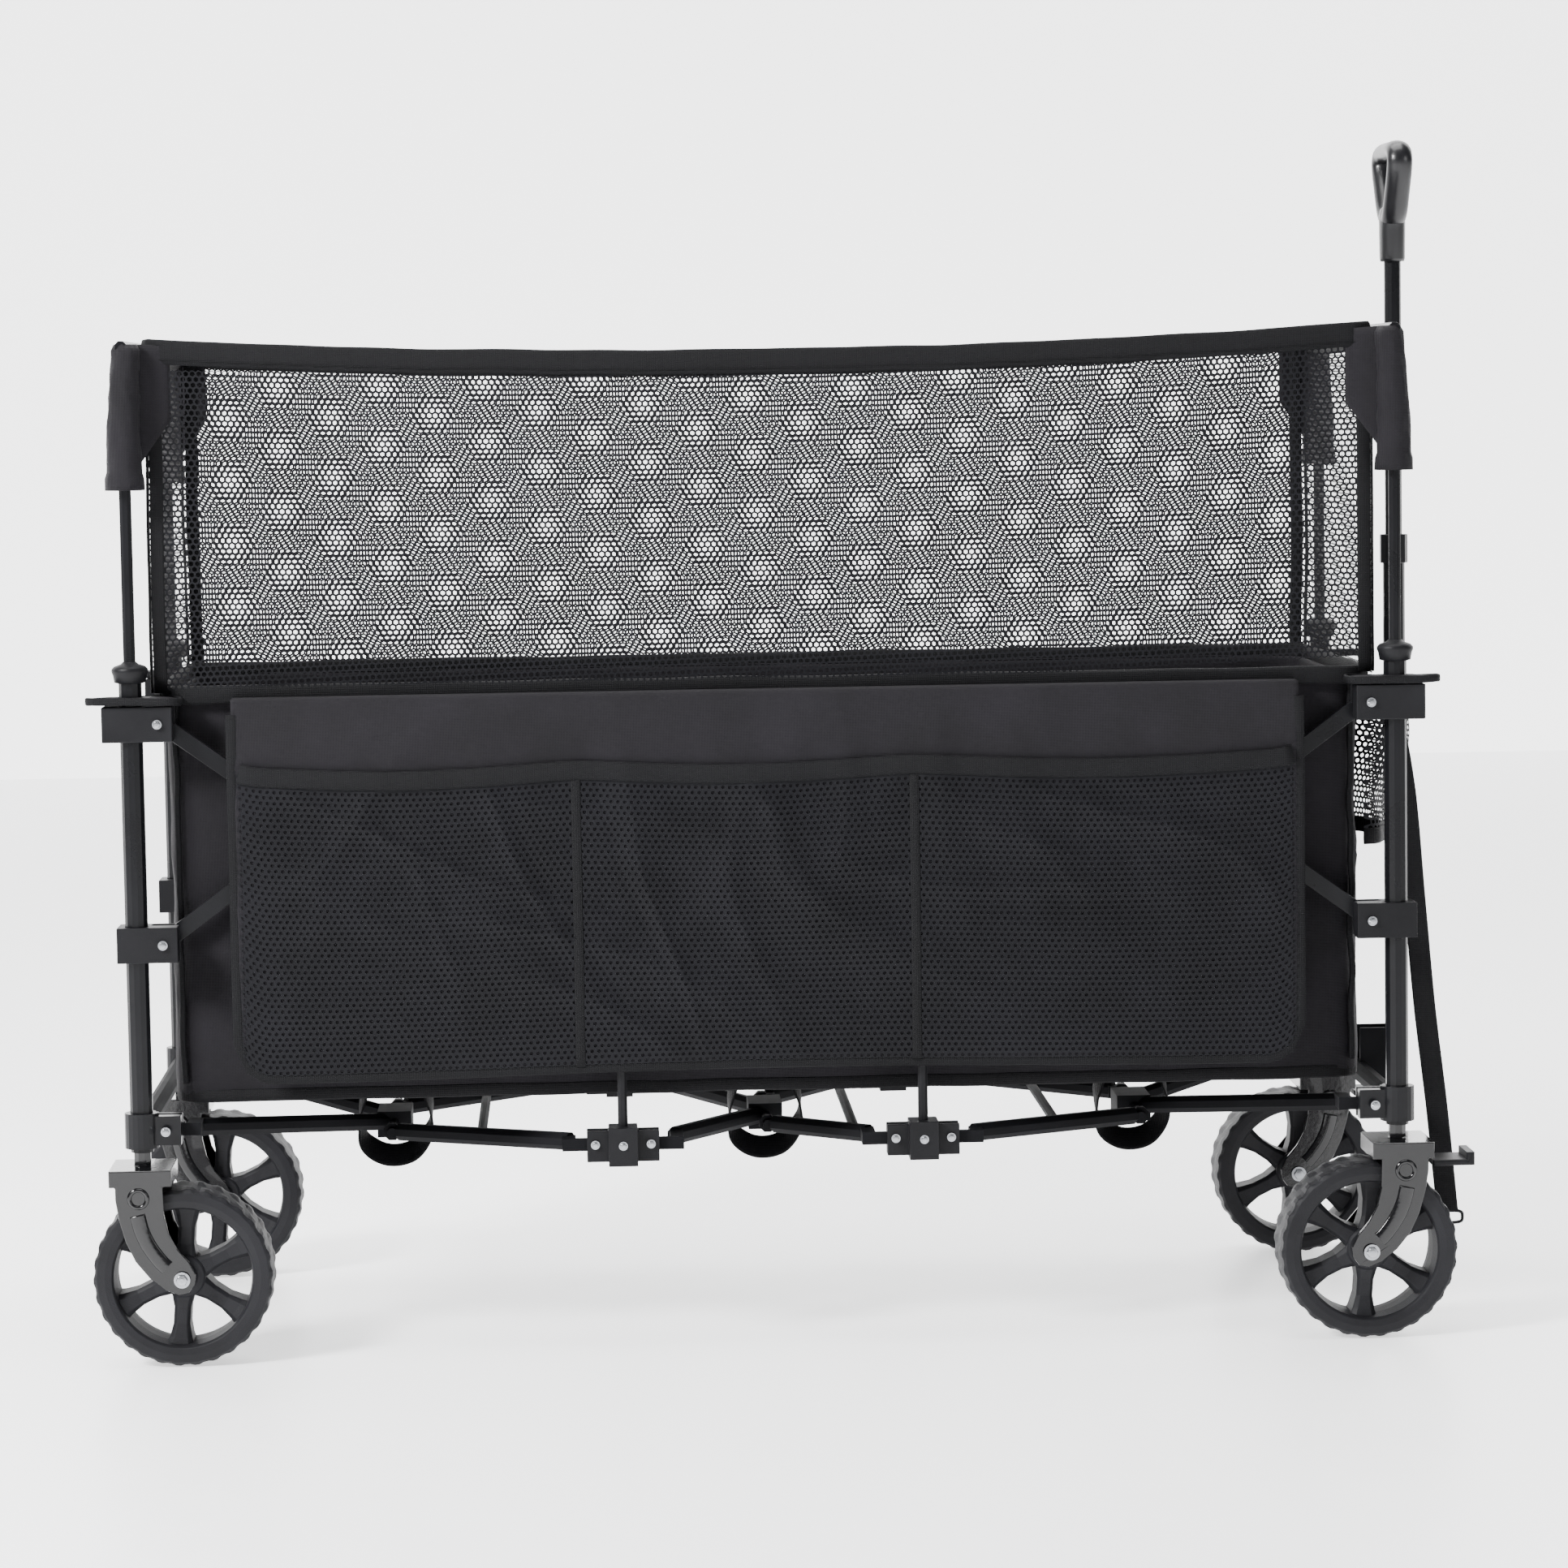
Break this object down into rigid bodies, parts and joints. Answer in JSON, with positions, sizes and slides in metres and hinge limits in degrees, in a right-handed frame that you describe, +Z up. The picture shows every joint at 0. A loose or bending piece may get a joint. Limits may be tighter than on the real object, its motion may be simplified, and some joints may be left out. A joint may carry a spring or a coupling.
{
  "type": "pet stroller",
  "caption": "Folding pet stroller wagon with a fabric tub, mesh pen, scissor side frame, swivel castors and a telescopic pull handle.",
  "frame": {"origin": "bottom centre of the bounding box, on the floor", "axes": "+X along the wagon towards the pull handle, +Y across it, +Z up"},
  "size_m": [1.338, 0.54, 1.169],
  "materials": {
    "painted_steel": "satin black powder coat",
    "bracket_plastic": "fine grained black plastic",
    "fork_gloss": "gloss black paint",
    "tyre": "matte black rubbery plastic with moulded tread",
    "grip_plastic": "smooth black plastic",
    "canvas": "coarse black polyester weave",
    "netting": "black open net",
    "mat_cloth": "padded black cloth"
  },
  "bodies": {
    "frame": {"post_rear_near": "painted_steel", "top_bracket_rear_near": "bracket_plastic", "slider_rear_near": "bracket_plastic", "drop_rod_rear_near": "bracket_plastic", "post_rear_far": "painted_steel", "top_bracket_rear_far": "bracket_plastic", "slider_rear_far": "bracket_plastic", "drop_rod_rear_far": "bracket_plastic", "post_front_near": "painted_steel", "top_bracket_front_near": "bracket_plastic", "slider_front_near": "bracket_plastic", "drop_rod_front_near": "bracket_plastic", "post_front_far": "painted_steel", "top_bracket_front_far": "bracket_plastic", "slider_front_far": "bracket_plastic", "drop_rod_front_far": "bracket_plastic", "scissor_a1_near": "painted_steel", "scissor_b1_near": "painted_steel", "scissor_a2_near": "painted_steel", "scissor_b2_near": "painted_steel", "scissor_a3_near": "painted_steel", "scissor_b3_near": "painted_steel", "scissor_a4_near": "painted_steel", "scissor_b4_near": "painted_steel", "scissor_a1_far": "painted_steel", "scissor_b1_far": "painted_steel", "scissor_a2_far": "painted_steel", "scissor_b2_far": "painted_steel", "scissor_a3_far": "painted_steel", "scissor_b3_far": "painted_steel", "scissor_a4_far": "painted_steel", "scissor_b4_far": "painted_steel", "floor_arms_rear_outer": "painted_steel", "floor_arms_rear_inner": "painted_steel", "floor_arms_middle_rear": "painted_steel", "floor_arms_middle_front": "painted_steel", "floor_arms_front_inner": "painted_steel", "floor_arms_front_outer": "painted_steel", "rear_crossbar": "painted_steel", "handle_yoke": "painted_steel", "pen_hoop_rear": "painted_steel", "pen_hoop_front": "painted_steel", "tub": "canvas", "pen_mesh": "netting", "floor_mat": "mat_cloth"},
    "handle_lower": {"handle_outer_tube": "painted_steel"},
    "handle_upper": {"handle_inner_tube": "painted_steel", "handle_grip": "grip_plastic"},
    "castor_rear_near": {"fork_rear_near": "fork_gloss"},
    "wheel_rear_near": {"wheel_rear_near": "tyre"},
    "castor_rear_far": {"fork_rear_far": "fork_gloss"},
    "wheel_rear_far": {"wheel_rear_far": "tyre"},
    "castor_front_near": {"fork_front_near": "fork_gloss"},
    "wheel_front_near": {"wheel_front_near": "tyre"},
    "brake_near": {"brake_lever_near": "bracket_plastic"},
    "castor_front_far": {"fork_front_far": "fork_gloss"},
    "wheel_front_far": {"wheel_front_far": "tyre"},
    "brake_far": {"brake_lever_far": "bracket_plastic"}
  },
  "joints": [
    {"name": "castor_rear_near_swivel", "type": "hinge", "parent": "frame", "child": "castor_rear_near", "pos_m": [-0.62, -0.23, 0.2], "axis": [0, 0, 1], "continuous": true},
    {"name": "wheel_rear_near_spin", "type": "hinge", "parent": "castor_rear_near", "child": "wheel_rear_near", "pos_m": [-0.582, -0.23, 0.087], "axis": [0, 1, 0], "continuous": true},
    {"name": "castor_rear_far_swivel", "type": "hinge", "parent": "frame", "child": "castor_rear_far", "pos_m": [-0.62, 0.23, 0.2], "axis": [0, 0, 1], "continuous": true},
    {"name": "wheel_rear_far_spin", "type": "hinge", "parent": "castor_rear_far", "child": "wheel_rear_far", "pos_m": [-0.582, 0.23, 0.087], "axis": [0, 1, 0], "continuous": true},
    {"name": "castor_front_near_swivel", "type": "hinge", "parent": "frame", "child": "castor_front_near", "pos_m": [0.597, -0.23, 0.2], "axis": [0, 0, 1], "continuous": true},
    {"name": "wheel_front_near_spin", "type": "hinge", "parent": "castor_front_near", "child": "wheel_front_near", "pos_m": [0.565, -0.23, 0.087], "axis": [0, 1, 0], "continuous": true},
    {"name": "brake_near_press", "type": "hinge", "parent": "castor_front_near", "child": "brake_near", "pos_m": [0.631, -0.23, 0.17], "axis": [0, 1, 0], "range_deg": [0, 12]},
    {"name": "castor_front_far_swivel", "type": "hinge", "parent": "frame", "child": "castor_front_far", "pos_m": [0.597, 0.23, 0.2], "axis": [0, 0, 1], "continuous": true},
    {"name": "wheel_front_far_spin", "type": "hinge", "parent": "castor_front_far", "child": "wheel_front_far", "pos_m": [0.565, 0.23, 0.087], "axis": [0, 1, 0], "continuous": true},
    {"name": "brake_far_press", "type": "hinge", "parent": "castor_front_far", "child": "brake_far", "pos_m": [0.631, 0.23, 0.17], "axis": [0, 1, 0], "range_deg": [0, 12]},
    {"name": "handle_tilt", "type": "hinge", "parent": "frame", "child": "handle_lower", "pos_m": [0.6365, 0, 0.262], "axis": [0, 1, 0], "range_deg": [0, 80]},
    {"name": "handle_slide", "type": "slide", "parent": "handle_lower", "child": "handle_upper", "axis": [0, 0, 1], "range_m": [-0.25, 0]}
  ]
}
